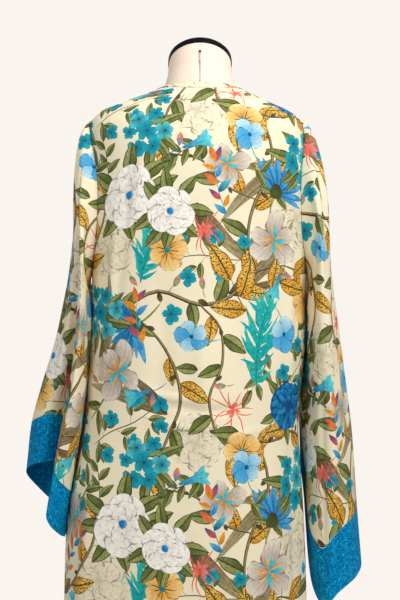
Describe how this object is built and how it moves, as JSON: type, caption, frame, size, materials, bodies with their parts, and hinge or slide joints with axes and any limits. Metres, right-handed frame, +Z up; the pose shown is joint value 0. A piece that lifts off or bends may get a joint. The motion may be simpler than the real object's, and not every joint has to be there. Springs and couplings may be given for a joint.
{
  "type": "kimono robe on a dress form",
  "caption": "Long open robe of printed cloth with wide sleeves ending in plain blue bands, hanging on a limbless dress form with a pole and a round base.",
  "frame": {"origin": "on the floor, at the middle of the stand's round base", "axes": "+Z up, -Y towards the robe's open front, +X towards the wearer's left"},
  "size_m": [0.5744, 0.35, 1.4945],
  "materials": {
    "printed_cloth": "soft thin woven cloth, cream with a printed flower pattern",
    "blue_cloth": "soft thin woven cloth, mottled blue",
    "form_linen": "fine matt cover cloth, pale skin-like linen",
    "cap_black": "satin black",
    "stand_metal": "satin black paint"
  },
  "bodies": {
    "root": {"back_panel": "printed_cloth", "front_left": "printed_cloth", "front_right": "printed_cloth", "sleeve_left": "printed_cloth", "sleeve_right": "printed_cloth", "neckband": "printed_cloth", "cuff_band_left": "blue_cloth", "cuff_band_right": "blue_cloth", "form_torso": "form_linen", "neck_cap": "cap_black", "stand_pole": "stand_metal", "stand_base": "stand_metal"}
  },
  "joints": []
}
